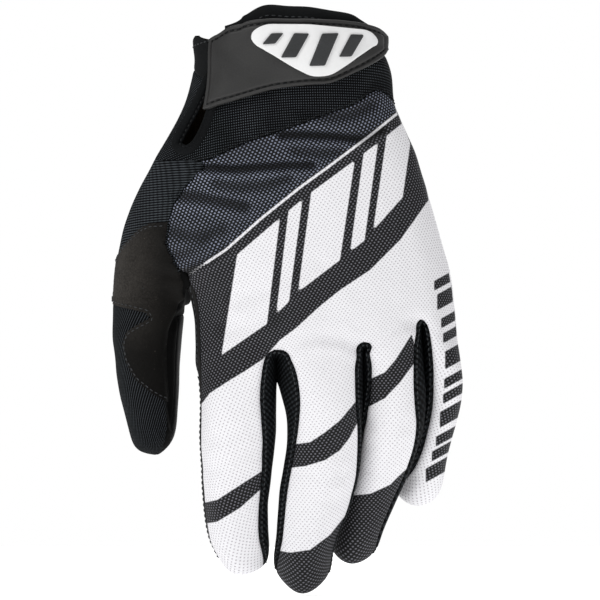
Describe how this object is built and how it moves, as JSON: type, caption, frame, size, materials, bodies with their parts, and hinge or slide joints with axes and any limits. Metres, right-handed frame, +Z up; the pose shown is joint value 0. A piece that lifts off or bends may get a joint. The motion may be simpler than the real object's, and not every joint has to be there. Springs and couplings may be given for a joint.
{
  "type": "motocross glove",
  "caption": "Left motocross glove as if worn: mesh back, knit wrist, stretch finger sides, suede thumb patches, neoprene cuff and rubber closure strap.",
  "frame": {"origin": "centre of the wrist opening", "axes": "+Z up out of the wrist opening with the fingers hanging down, the back of the hand faces -Y, the thumb is on the -X side"},
  "size_m": [0.1288, 0.0641, 0.2138],
  "materials": {
    "back_panel": "white printed mesh",
    "wrist_knit": "black knit",
    "palm": "matte black synthetic leather",
    "gusset": "black stretch fabric",
    "thumb_shell": "black ribbed stretch fabric",
    "thumb_inner_strip": "smooth black fabric",
    "suede": "dark synthetic suede",
    "cuff": "black neoprene",
    "slit_binding": "smooth dark edging",
    "closure_strap": "matte moulded rubber",
    "badge_plate": "white moulded rubber",
    "badge_bars": "dark grey inlay"
  },
  "bodies": {
    "root": {"back_panel": "back_panel", "badge_bar_1": "badge_bars", "badge_bar_2": "badge_bars", "badge_bar_3": "badge_bars", "badge_bar_4": "badge_bars", "badge_plate": "badge_plate", "closure_strap": "closure_strap", "cuff": "cuff", "gusset_index_middle": "gusset", "gusset_middle_ring": "gusset", "gusset_ring_little": "gusset", "palm": "palm", "slit_binding": "slit_binding", "thumb_inner_strip": "thumb_inner_strip", "thumb_patch_lower": "suede", "thumb_patch_upper": "suede", "thumb_shell": "thumb_shell", "wrist_knit": "wrist_knit"}
  },
  "joints": []
}
